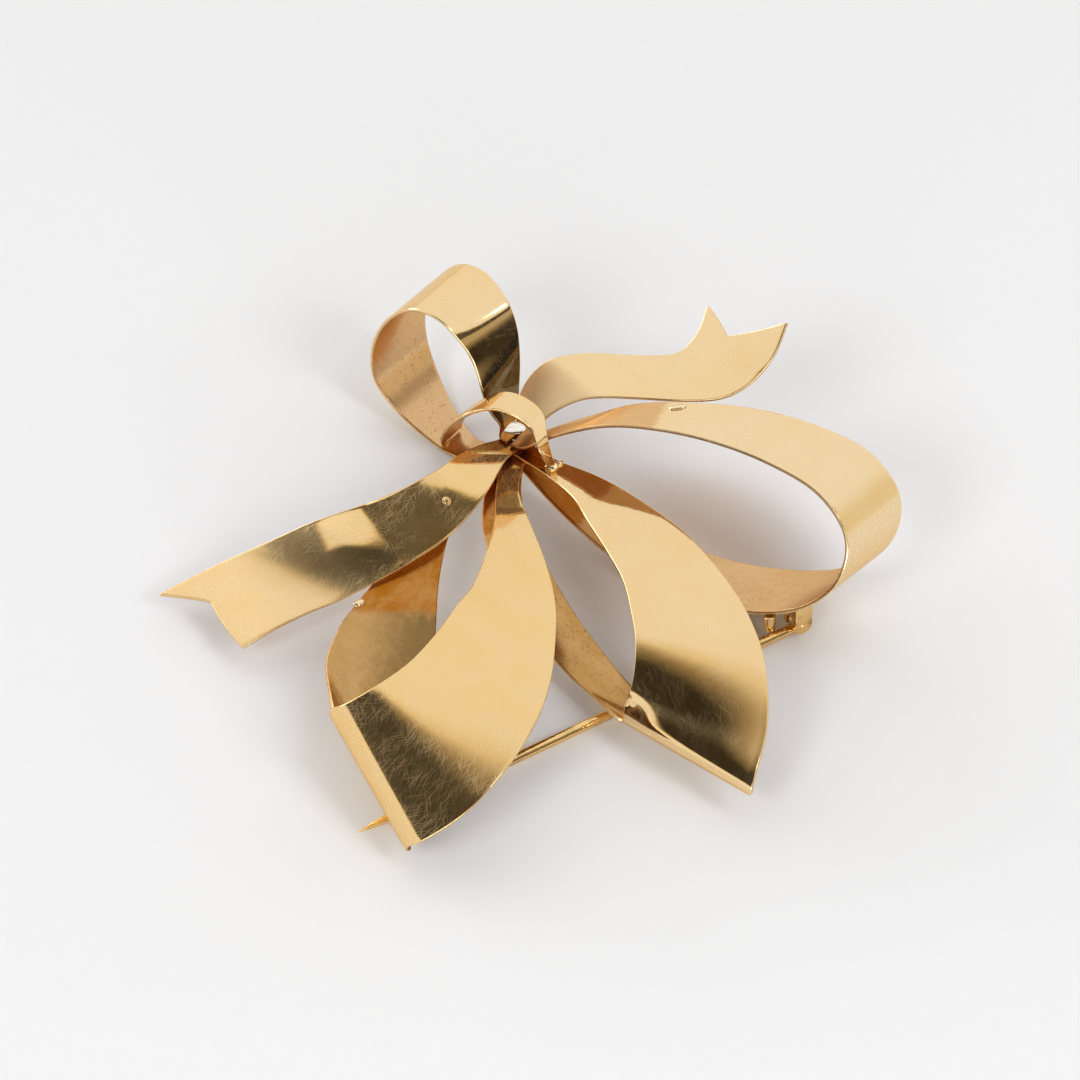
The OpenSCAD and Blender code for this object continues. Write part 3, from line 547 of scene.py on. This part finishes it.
class Graph:
    """The nodes of one material or world."""

    def __init__(self, owner):
        owner.use_nodes = True
        self.tree = owner.node_tree
        self.tree.nodes.clear()

    def node(self, kind, settings=None, inputs=None, output=0):
        """Adds a node of a kind, named without ShaderNode: its settings first, then the values or links of
        its sockets. Returns the asked output."""
        node = self.tree.nodes.new(f"ShaderNode{kind}")
        for key, value in (settings or {}).items():
            setattr(node, key, value)
        for key, value in (inputs or {}).items():
            if isinstance(value, Value):
                self.tree.links.new(value.socket, node.inputs[key])
            else:
                node.inputs[key].default_value = value
        return Value(self, node.outputs[output])

    def math(self, operation, *values):
        """A Math node of any kind."""
        return self.node("Math", {"operation": operation}, dict(enumerate(values)))

    def fact(self, name):
        """A number that the mesh carries on its points."""
        return self.node("Attribute", {"attribute_name": name}, output="Fac")

    def vector(self, x, y, z):
        """Three numbers as one vector."""
        return self.node("CombineXYZ", {}, {"X": x, "Y": y, "Z": z})

    def split(self, vector):
        """The three numbers of a vector."""
        node = self.node("SeparateXYZ", {}, {"Vector": vector}).socket.node
        return [Value(self, socket) for socket in node.outputs]

    def noise(self, vector, scale, detail=3, rough=0.5, warp=0.0):
        """Cloudy noise between 0 and 1."""
        return self.node("TexNoise", {}, {"Vector": vector, "Scale": scale, "Detail": detail,
                                                    "Roughness": rough, "Distortion": warp})

    def mix(self, factor, a, b):
        """A colour between a and b."""
        a, b = (c if isinstance(c, Value) else (*c, 1) for c in (a, b))
        return self.node("Mix", {"data_type": "RGBA"}, {0: factor, 6: a, 7: b}, output=2)

    def ramp(self, factor, stops):
        """A colour that runs through the stops, pairs of a position and a colour."""
        made = self.node("ValToRGB", {}, {"Fac": factor})
        elements = made.socket.node.color_ramp.elements
        while len(elements) < len(stops):
            elements.new(0.5)
        for element, (position, shade) in zip(elements, stops):
            element.position = position
            element.color = (*shade, 1)
        return made

    def length(self, *parts):
        """The length of a vector with two parts."""
        one, two = (self.math("POWER", part, 2) for part in parts)
        return self.math("SQRT", one + two)

    def highest(self, values):
        """The highest of several values."""
        top = values[0]
        for value in values[1:]:
            top = self.math("MAXIMUM", top, value)
        return top

    def bump(self, height):
        """A normal bent by a height in millimetres."""
        return self.node("Bump", {}, {"Height": height, "Strength": 1.0, "Distance": MM})

    def output(self, shader, owner="Material"):
        """Links a shader to the surface output."""
        node = self.tree.nodes.new(f"ShaderNodeOutput{owner}")
        self.tree.links.new(shader.socket, node.inputs["Surface"])


# The ways that hair scratches run: their turn in degrees, how closely they lie and how rare they are.
SCRATCH_WAYS = ((14, 12, 0.63), (-22, 16, 0.65), (66, 13, 0.67), (38, 18, 0.64))


def hair_scratches(g, x, y, turn, spacing, rare, seed):
    """Thin short streaks that run roughly one way: noise that changes slowly along the scratch and fast
    across it, of which only the crests are kept. A slow wave bends them a little."""
    bend = g.noise(g.vector(x * 0.3, y * 0.3, seed), 1.0, detail=0) * 0.25
    lengthways, crossways = rotated(x, y, -math.radians(turn))
    streaks = g.noise(g.vector(lengthways * 0.5, (crossways + bend) * spacing, seed), 1.0, detail=0)
    return streaks.step(rare, rare + 0.07)


def gold_shader(g, base, rough, dulled, normal, bleached):
    """Metal with two lobes: the polish, and a broad one for the share that fine wear has dulled."""
    look = bpy.context.scene.brooch_gold
    paler = g.mix(bleached, base, look.hazy)
    lobes = [g.node("BsdfPrincipled", {}, {
        "Base Color": tint, "Metallic": 1.0, "Roughness": lobe, "Specular Tint": (*look.edge, 1),
        "Normal": normal}) for tint, lobe in ((base, rough), (paler, look.dull))]
    return g.node("MixShader", {}, {0: dulled, 1: lobes[0], 2: lobes[1]})


def gold_sheet(node, size):
    """Polished gold sheet: clean outside but for fine scratches, and satin with specks inside. Next to the
    knot the outside is coloured, tarnish on the right loop and a painted reflection on the others; the inner
    face is painted darker and amber for the shade and inter-reflected light inside the loops, and one carries
    a painted shade along its left half. Both have clouds of a slightly different gold, and a worn end loses
    its mirror.
    Distances and heights are in millimetres."""
    look = bpy.context.scene.brooch_gold
    material = bpy.data.materials.new(f"{node} gold")
    g = Graph(material)
    along, aside, inner, rim, root = map(g.fact, ("along", "aside", "inner", "rim", "root"))
    seed = 17 * list(TABLES).index(node)
    place = g.vector(along, aside, inner * 7 + seed)
    clouds = g.noise(place, 0.3, detail=4, warp=0.6)
    mottle = g.noise(place, 1.7, detail=4, rough=0.62)
    specks = g.noise(place, 6.5, detail=2).step(0.64, 0.7)
    scratches = 0
    for turn, spacing, rare in SCRATCH_WAYS:
        scratches = hair_scratches(g, along, aside, turn, spacing, rare, seed + turn) + scratches
    patchy = clouds.step(0.35, 0.62) * 0.8 + 0.2
    scratches = scratches.clamp() * patchy * (1 - inner * 0.5)
    wobble = (mottle - 0.5) * 1.4 + aside * 0.35
    # Where the outside next to the knot is coloured: tarnish on the right loop, a painted reflection
    # elsewhere.
    tarnish_and_painted_reflection = 1 - (root + wobble).step(size.browned / MM - 0.5, size.browned / MM + 0.3)
    # Random clouds that thicken the specks and the painted inside colour.
    stained = (clouds * 0.7 + mottle * 0.5).step(0.42, 0.75)
    patches = mottle.step(0.45, 0.62)
    # Dark specks inside, a darker line along the rims and darker patches next to the knot's ends.
    darkening = inner * specks * (0.3 + stained * 0.7) + (1 - rim.step(0.0, 0.14)) * patches * 0.12
    darkening = (darkening + (1 - root.step(0.7, 2.0)) * patches * 0.35).clamp()
    # Rich to pale gold: random clouds, and each ribbon's paleness, which is a painted reflection tone.
    clean = g.mix((size.pale + (clouds - 0.5) * 0.9).clamp(), look.rich, look.pale)
    # This root colour is painted reflection: amber at the knot, then the ribbon's root colour, which is
    # tarnish only on the right loop.
    heat = g.mix(root.step(1.5, 2.6), look.amber, size.root)
    tinted = g.mix(tarnish_and_painted_reflection * (0.75 + mottle * 0.3), clean, heat)
    # The inner face is painted: its inside colour for shade, and amber near the knot for inter-reflected
    # light.
    baked = 1 - (root + (mottle - 0.5) * 2).step(size.baked / MM * 0.96 - 0.4, size.baked / MM)
    coloured = g.mix(inner * (0.78 + stained * 0.22), tinted, g.mix(baked * 0.95, size.inside, look.amber))
    # Painted shade along the left half of the inner face, beyond the amber.
    painted_inner_shade = inner * (1 - baked) * (aside + (mottle - 0.5) * 2).step(-2.6, 2.6) * size.stained
    base = g.mix(darkening * 0.8, g.mix(painted_inner_shade, coloured, look.painted_shade_tone), look.dirt)
    rough = look.polish + inner * (look.satin - look.polish) + darkening * 0.25 + (mottle - 0.5) * 0.03
    worn = along.step(size.worn / MM - 3, size.worn / MM + 3) * 0.55
    rubbed = (along - size.rubbed / MM).within(-0.1, 0.1, 0.9) * (mottle * 0.5 + 0.25)
    dulled = size.haze * (0.5 + clouds) + worn + rubbed
    dulled = dulled + scratches * look.scratches * (0.7 + size.haze * 14) + inner * 0.12 + tarnish_and_painted_reflection * size.matt
    mark = g.length(along - size.mark[0] / MM, aside - size.mark[1] / MM)
    dent = (1 - mark.step(0.12, 0.36)) * 0.09
    normal = g.bump(clouds * 0.012 + mottle * inner * 0.004 - specks * inner * 0.004 - dent)
    bleached = look.bleached - inner * look.bleached
    g.output(gold_shader(g, base, rough.clamp(), dulled.clamp(), normal, bleached))
    return material


def cast_gold(name, tint, rough, grime):
    """The gold of the wire, the fittings and the solder: plain, with soft dents and darker mottled patches.
    """
    look = bpy.context.scene.brooch_gold
    material = bpy.data.materials.new(name)
    g = Graph(material)
    place = g.node("TexCoord", output="Object")
    mottle = g.noise(place, 900, detail=3, rough=0.6)
    dents = g.noise(place, 1800, detail=2)
    darkening = mottle.step(0.5, 0.72) * grime
    base = g.mix(darkening, tint, look.dirt)
    rough, dulled = (rough + darkening * 0.3).clamp(), (0.06 + darkening * 0.3).clamp()
    g.output(gold_shader(g, base, rough, dulled, g.bump(dents * 0.02 + mottle * 0.02), look.bleached))
    return material


class RibbonOperator:
    """Shared by the operators that make strips of sheet."""

    def execute(self, context):
        scene = context.scene
        for node in self.nodes:
            make_ribbon(node, getattr(scene, f"brooch_{node}"), scene.brooch_sheet)
        return {"FINISHED"}


class BROOCH_OT_standing_loops(RibbonOperator, bpy.types.Operator):
    """Makes the two loops that stand up from the knot"""
    bl_idname = "brooch.standing_loops"
    bl_label = "Standing loops"
    nodes = ("loop_top", "loop_right")


class BROOCH_OT_lower_loops(RibbonOperator, bpy.types.Operator):
    """Makes the two broad loops below the knot"""
    bl_idname = "brooch.lower_loops"
    bl_label = "Lower loops"
    nodes = ("loop_lower_right", "loop_lower_left")


class BROOCH_OT_tails(RibbonOperator, bpy.types.Operator):
    """Makes the two swallow-tailed ends"""
    bl_idname = "brooch.tails"
    bl_label = "Tails"
    nodes = ("tail_left", "tail_right")


class BROOCH_OT_knot_band(RibbonOperator, bpy.types.Operator):
    """Makes the arched band that crosses the knot"""
    bl_idname = "brooch.knot_band"
    bl_label = "Knot band"
    nodes = ("knot_band",)


def unit(vector):
    """A vector of length 1 that points the same way."""
    return np.asarray(vector, float) / np.linalg.norm(vector)


def pin_frame():
    """The hinge's own frame in millimetres: the middle of the rivet, the way along the stem to its point,
    the way along the rivet, and up."""
    joint = next(joint for joint in frame["joints"] if joint["name"] == "pin_hinge")
    rivet, up = unit(joint["axis"]), np.array([0.0, 0.0, 1.0])
    return np.array(joint["pos_m"], float) / MM, np.cross(rivet, up), rivet, up


def turned(name, ways, axial, radius, sides=40, endless=False):
    """A solid of revolution about the axis ways[1] through ways[0]: each ring lies at one of the axial
    places with its radius, and ways[2] and ways[3] span it. Points = middle + axis * axial + radius *
    (cos(a) * ways[2] + sin(a) * ways[3])."""
    middle, axis, one, two = ways
    a = 2 * math.pi * (np.arange(sides) + 0.5) / sides
    spoke = np.cos(a)[:, None] * one + np.sin(a)[:, None] * two
    rings = middle + axial[:, None, None] * axis + radius[:, None, None] * spoke
    return tube_mesh(name, rings, endless=endless)


def rounded_profile(low, high, half, corner, arc=6):
    """The closed outline of a rounded rectangle in axial place and radius, from -half to half and from
    low to high, its corners quarter circles."""
    quarter = np.linspace(0, math.pi / 2, arc + 1)
    turn = np.concatenate([quarter + k * math.pi / 2 for k in range(4)])
    low, high, flat = low + corner, high - corner, half - corner
    axial = np.repeat([flat, flat, -flat, -flat], arc + 1) + corner * np.sin(turn)
    return axial, np.repeat([high, low, low, high], arc + 1) + corner * np.cos(turn)


def from_bmesh(name, box):
    """An object made of an edit mesh, which is freed."""
    mesh = bpy.data.meshes.new(name)
    box.to_mesh(mesh)
    box.free()
    return linked(name, mesh)


def joined(name, pieces):
    """One object of several closed pieces. Each piece goes with its mesh."""
    box = bmesh.new()
    for piece in pieces:
        box.from_mesh(piece.data)
        bpy.data.meshes.remove(piece.data)
    return from_bmesh(name, box)


class BROOCH_OT_pin(bpy.types.Operator):
    """Makes the pin stem with its eye, and the rivet that it turns on"""
    bl_idname = "brooch.pin"
    bl_label = "Pin"

    def execute(self, context):
        pin, look = context.scene.brooch_pin, context.scene.brooch_gold
        middle, along, rivet, up = pin_frame()
        wire, height = pin.wire / 2 / MM, pin.height / MM - middle[2]
        tip, point = pin.length / MM, pin.point / MM
        start = np.linspace(0, math.pi / 2, 8)
        taper = np.linspace(0, 1, 40)[1:]
        axial = np.concatenate([wire * 0.7 * (np.sin(start) - 1), np.linspace(0.1, tip - point, 30),
                                tip - point + point * taper])
        radius = np.concatenate([wire * np.sin(start + 0.02).clip(0.03, 1), np.full(30, wire),
                                 wire * (1 - 0.9 * taper**1.4)])
        shaft = turned("shaft", (middle + up * height, along, rivet, up), axial, radius, sides=48)
        profile = rounded_profile(pin.eye_bore / 2 / MM, pin.eye / 2 / MM, pin.eye_width / 2 / MM,
                                  pin.eye_corner / MM)
        eye = turned("eye", (middle, rivet, up, along), *profile, sides=56, endless=True)
        stem = joined("pin_stem_wire", [shaft, eye])
        finished(stem, cast_gold("pin wire", look.rich, 0.07, 0.25), "pin_stem", "pin")
        half, dome, shank = pin.rivet_length / 2 / MM, pin.rivet_head / MM, pin.rivet / 2 / MM
        ring = np.linspace(0, math.pi / 2, 9)[::-1]
        head_axial = half - 0.02 + dome * np.sin(ring)
        head_radius = (pin.rivet_rim / MM + shank) * np.cos(ring).clip(0.03, 1)
        axial = np.concatenate([-head_axial, [-half + 0.01, half - 0.01], head_axial[::-1]])
        radius = np.concatenate([head_radius, [shank, shank], head_radius[::-1]])
        domed = turned("hinge_rivet_domed", (middle, rivet, up, along), axial, radius, sides=32)
        finished(domed, cast_gold("rivet gold", look.rich, 0.12, 0.5), "hinge_rivet")
        return {"FINISHED"}


def bead(place, normal, lengthways, long, wide, high, sunk, seed, dish=0):
    """A bead of solder. Its outline wobbles: r = 1 + 0.09 cos(2a + seed) + 0.06 cos(3a + 2 seed). Its top
    stands at high * sqrt(1 - rho^2) - dish * (1 - rho^2) over the place, and its flat underside is sunk."""
    normal, one = unit(normal), np.asarray(lengthways, float)
    one = unit(one - normal * (one @ normal))
    two = np.cross(normal, one)
    a = 2 * math.pi * (np.arange(40) + 0.5) / 40
    outline = 1 + 0.09 * np.cos(2 * a + seed) + 0.06 * np.cos(3 * a + 2 * seed)
    rho = np.array([0.02, 0.5, 0.9, 1, 0.995, 0.98, 0.95, 0.9, 0.82, 0.72, 0.6, 0.48, 0.36, 0.24, 0.12, 0.02])
    top = high * np.sqrt(1 - rho**2) - dish * (1 - rho**2)
    height = np.where(np.arange(len(rho)) < 4, -sunk, top)
    spoke = outline[:, None] * (np.cos(a)[:, None] * one * long + np.sin(a)[:, None] * two * wide)
    return tube_mesh("bead", place + rho[:, None, None] * spoke + height[:, None, None] * normal)


# Beads at the band's feet: the band's end, how far across from its middle in millimetres, the size as a
# share of the small bead's, and the seed of the outline. Beads that join two ribbons: the property with
# the place, the way that the bead faces and the way that it runs, its size and its seed.
FOOT_BEADS = ((0, -0.7, 1, 0.3), (-1, 0.1, 1.5, 2.2), (-1, 0.75, 0.8, 5.3))
JOIN_BEADS = (("right_join", (-0.13, 0.28, 0.95), (1, 0.2, 0), 2.6, 1.1),
              ("left_join", (0.17, -0.13, 0.98), (1, 1, 0), 2.2, 2.7))


class BROOCH_OT_solder(bpy.types.Operator):
    """Makes the solder: the pool in the knot and the beads that join the ribbons"""
    bl_idname = "brooch.solder"
    bl_label = "Solder"

    def execute(self, context):
        scene = context.scene
        look, size = scene.brooch_gold, scene.brooch_solder
        pool = bead(np.array(size.pool_place) / MM, size.pool_normal, (1, 0.15, 0), size.pool_long / MM,
                    size.pool_wide / MM, size.pool_high / MM, size.pool_deep / MM, 0.6, size.pool_dish / MM)
        pool = joined("solder_pool", [pool])
        # The near-white pool colour paints the bright highlight in the knot.
        finished(pool, cast_gold("pool solder", look.pool, 0.2, 0.05))
        middle, across, _ = ribbon_stations("knot_band", scene.brooch_knot_band, scene.brooch_sheet)
        small = size.bead / MM
        beads = []
        for end, sideways, scale, seed in FOOT_BEADS:
            beads.append(bead(middle[end] + across[end] * sideways, (0, -0.2, 1), across[end],
                              small * scale * 1.6, small * scale, size.foot_high / MM, 0.2, seed))
        for join, normal, lengthways, scale, seed in JOIN_BEADS:
            beads.append(bead(np.array(getattr(size, join)) / MM, normal, lengthways, small * scale,
                              small * scale * 0.55, size.join_high / MM, 0.15, seed))
        finished(joined("knot_solder", beads), cast_gold("solder gold", look.solder, 0.06, 0.2))
        return {"FINISHED"}


def softened(node, width):
    """The finished form of a fitting: its node's mesh with merged corners and rounded edges."""
    box = bmesh.new()
    box.from_mesh(bpy.data.objects[node].data)
    bmesh.ops.remove_doubles(box, verts=box.verts, dist=1e-7)
    bmesh.ops.dissolve_limit(box, angle_limit=math.radians(1), verts=box.verts, edges=box.edges)
    made = from_bmesh(f"{node}_soft", box)
    bevel = made.modifiers.new("edges", "BEVEL")
    bevel.width, bevel.segments, bevel.limit_method, bevel.angle_limit = width, 3, "ANGLE", math.radians(30)
    made.data.shade_smooth()
    return made


class BROOCH_OT_fittings(bpy.types.Operator):
    """Makes the hinge, the stop and the catch with worn edges"""
    bl_idname = "brooch.fittings"
    bl_label = "Hinge, stop and catch"

    def execute(self, context):
        gold = cast_gold("fittings gold", context.scene.brooch_gold.rich, 0.12, 0.55)
        for node, width in (("hinge", 0.09), ("pin_stop", 0.06), ("pin_catch", 0.06)):
            finished(softened(node, width * MM), gold, node)
        return {"FINISHED"}


def aim(piece, target, azimuth, elevation, distance):
    """Places a lamp or the camera at a distance from the target and turns it there. Azimuth 0 is towards
    -Y, the front, and 90 degrees towards +X: x, y, z = sin(azimuth) cos(elevation), -cos(azimuth)
    cos(elevation), sin(elevation)."""
    flat = math.cos(elevation)
    way = np.array([math.sin(azimuth) * flat, -math.cos(azimuth) * flat, math.sin(elevation)])
    piece.location = target + way * distance
    piece.rotation_euler = Vector(-way).to_track_quat("-Z", "Y").to_euler()


def tent(studio):
    """The light tent: white all round but for dark gaps with amber borders, which stand round the camera
    like an arch. The left gap runs up into the broad one overhead, which fades out past the zenith. The
    right gap pales upwards, a narrow one leads away from it and a faint one stands further round. Three
    small lamps stand where only rims and curls mirror them: high to the right, low in front and low behind
    to the left. Azimuth runs to the right from the front and elevation up from the table, tilt from the
    front over the zenith to the back, and side from the left to the right, all in degrees."""
    world = bpy.data.worlds.new("tent")
    bpy.context.scene.world = world
    g = Graph(world)
    x, y, z = g.split(g.node("TexCoord", output="Generated"))
    degrees = 180 / math.pi
    azimuth = g.math("ARCTAN2", x, y * -1) * degrees
    elevation = g.math("ARCSINE", z) * degrees
    tilt = g.math("ARCTAN2", z, y * -1) * degrees
    side = g.math("ARCSINE", x) * degrees
    left = azimuth.within(-78, -29, 7) * elevation.within(18, 50, 4)
    border = g.math("MAXIMUM", 27 - (tilt - 56) * 0.83, 10)
    over = (side.step(-55, -49) * (1 - (side - border).step(-5, 5)) * elevation.step(41, 47)
            * (1 - tilt.step(77, 103)))
    right = azimuth.within(40, 70, 5) * elevation.within(-8, 49, 4) * (1 - elevation.step(12, 32) * 0.45)
    narrow = azimuth.within(28, 112, 6) * elevation.within(40, 49, 1.5) * 0.95
    faint = azimuth.within(76, 114, 10) * elevation.within(6, 40, 12) * 0.3
    dark = g.highest((left, over, right, narrow, faint))
    lamps = (azimuth.within(47, 62, 2) * elevation.within(57, 67, 2)
             + azimuth.within(-36, 36, 3) * elevation.within(4, 14, 2) * 0.6
             + azimuth.within(-155, -108, 4) * elevation.within(6, 22, 3) * 0.6)
    shade = g.ramp(dark * studio.gaps, ((0, (1, 1, 1)), (0.3, (0.87, 0.79, 0.6)), (0.65, (0.34, 0.27, 0.16)),
                                        (1, (0.004, 0.004, 0.002))))
    strength = studio.tent + lamps * studio.glints
    light = g.node("Background", {}, {"Color": shade, "Strength": strength})
    g.output(light, "World")


def table_material(studio):
    """Smooth pale card, with a painted pool of warm light where the gold of the right loop throws its light
    on it.
    """
    material = bpy.data.materials.new("table")
    g = Graph(material)
    where = g.node("TexCoord", output="Object")
    x, y, _ = g.split(where)
    card = g.mix(g.noise(where, 900, detail=2), tuple(0.99 * v for v in studio.table), studio.table)
    away = g.length(x - studio.warm_place[0], y - studio.warm_place[1])
    # A painted pool of the warm light that the right loop's gold throws on the table.
    painted_bounce_light = (1 - away.step(studio.warm_reach / 4, studio.warm_reach)) * 0.75
    g.output(g.node("BsdfPrincipled", {}, {
        "Base Color": g.mix(painted_bounce_light, card, studio.painted_bounce), "Roughness": 0.8, "Specular IOR Level": 0.2}))
    return material


class BROOCH_OT_studio(bpy.types.Operator):
    """Makes the table, the light tent, the lamps and the camera"""
    bl_idname = "brooch.studio"
    bl_label = "Studio"

    def execute(self, context):
        scene = context.scene
        studio = scene.brooch_studio
        scene.view_settings.view_transform = "Standard"
        tent(studio)
        corners = np.array([[-1, -1, 0], [1, -1, 0], [1, 1, 0], [-1, 1, 0]]) * studio.table_half / MM
        floor = surface("table", corners, np.array([[0, 1, 2, 3]]))
        floor.data.materials.append(table_material(studio))
        target = np.array(studio.target)
        for name, azimuth in (("lamp_left", -34), ("lamp_right", 50)):
            lamp = bpy.data.lights.new(name, "AREA")
            lamp.shape, lamp.size, lamp.energy = "DISK", studio.lamp_size, studio.lamps
            holder = linked(name, lamp)
            holder.visible_glossy = False  # The gold mirrors only the tent.
            aim(holder, target, math.radians(azimuth), studio.lamp_height, studio.lamp_away)
        camera = bpy.data.cameras.new("camera")
        camera.lens, camera.sensor_width = studio.lens, 36
        camera.clip_start = 0.01
        scene.camera = linked("camera", camera)
        aim(scene.camera, target, 0, studio.elevation, studio.distance)
        return {"FINISHED"}


OPERATORS = (BROOCH_OT_standing_loops, BROOCH_OT_lower_loops, BROOCH_OT_tails, BROOCH_OT_knot_band,
             BROOCH_OT_pin, BROOCH_OT_fittings, BROOCH_OT_solder, BROOCH_OT_studio)


class BROOCH_PT_panel(bpy.types.Panel):
    """Lists the steps that build the brooch"""
    bl_idname = "BROOCH_PT_panel"
    bl_label = "Ribbon bow brooch"
    bl_space_type = "VIEW_3D"
    bl_region_type = "UI"
    bl_category = "Brooch"

    def draw(self, context):
        for operator in OPERATORS:
            self.layout.operator(operator.bl_idname)


GROUPS = {"sheet": BroochSheet, "pin": BroochPin, "solder": BroochSolder, "gold": BroochGold,
          "studio": BroochStudio, **{node: ribbon_group(node) for node in RIBBONS}}
CLASSES = (*GROUPS.values(), *OPERATORS, BROOCH_PT_panel)


def register():
    for made in CLASSES:
        bpy.utils.register_class(made)
    for name, group in GROUPS.items():
        setattr(bpy.types.Scene, f"brooch_{name}", bpy.props.PointerProperty(type=group))


def unregister():
    for name in GROUPS:
        delattr(bpy.types.Scene, f"brooch_{name}")
    for made in reversed(CLASSES):
        bpy.utils.unregister_class(made)


def main():
    """Registers the add-on and runs every step."""
    register()
    for step in OPERATORS:
        group, name = step.bl_idname.split(".")
        getattr(getattr(bpy.ops, group), name)()


if __name__ == "__main__":
    main()
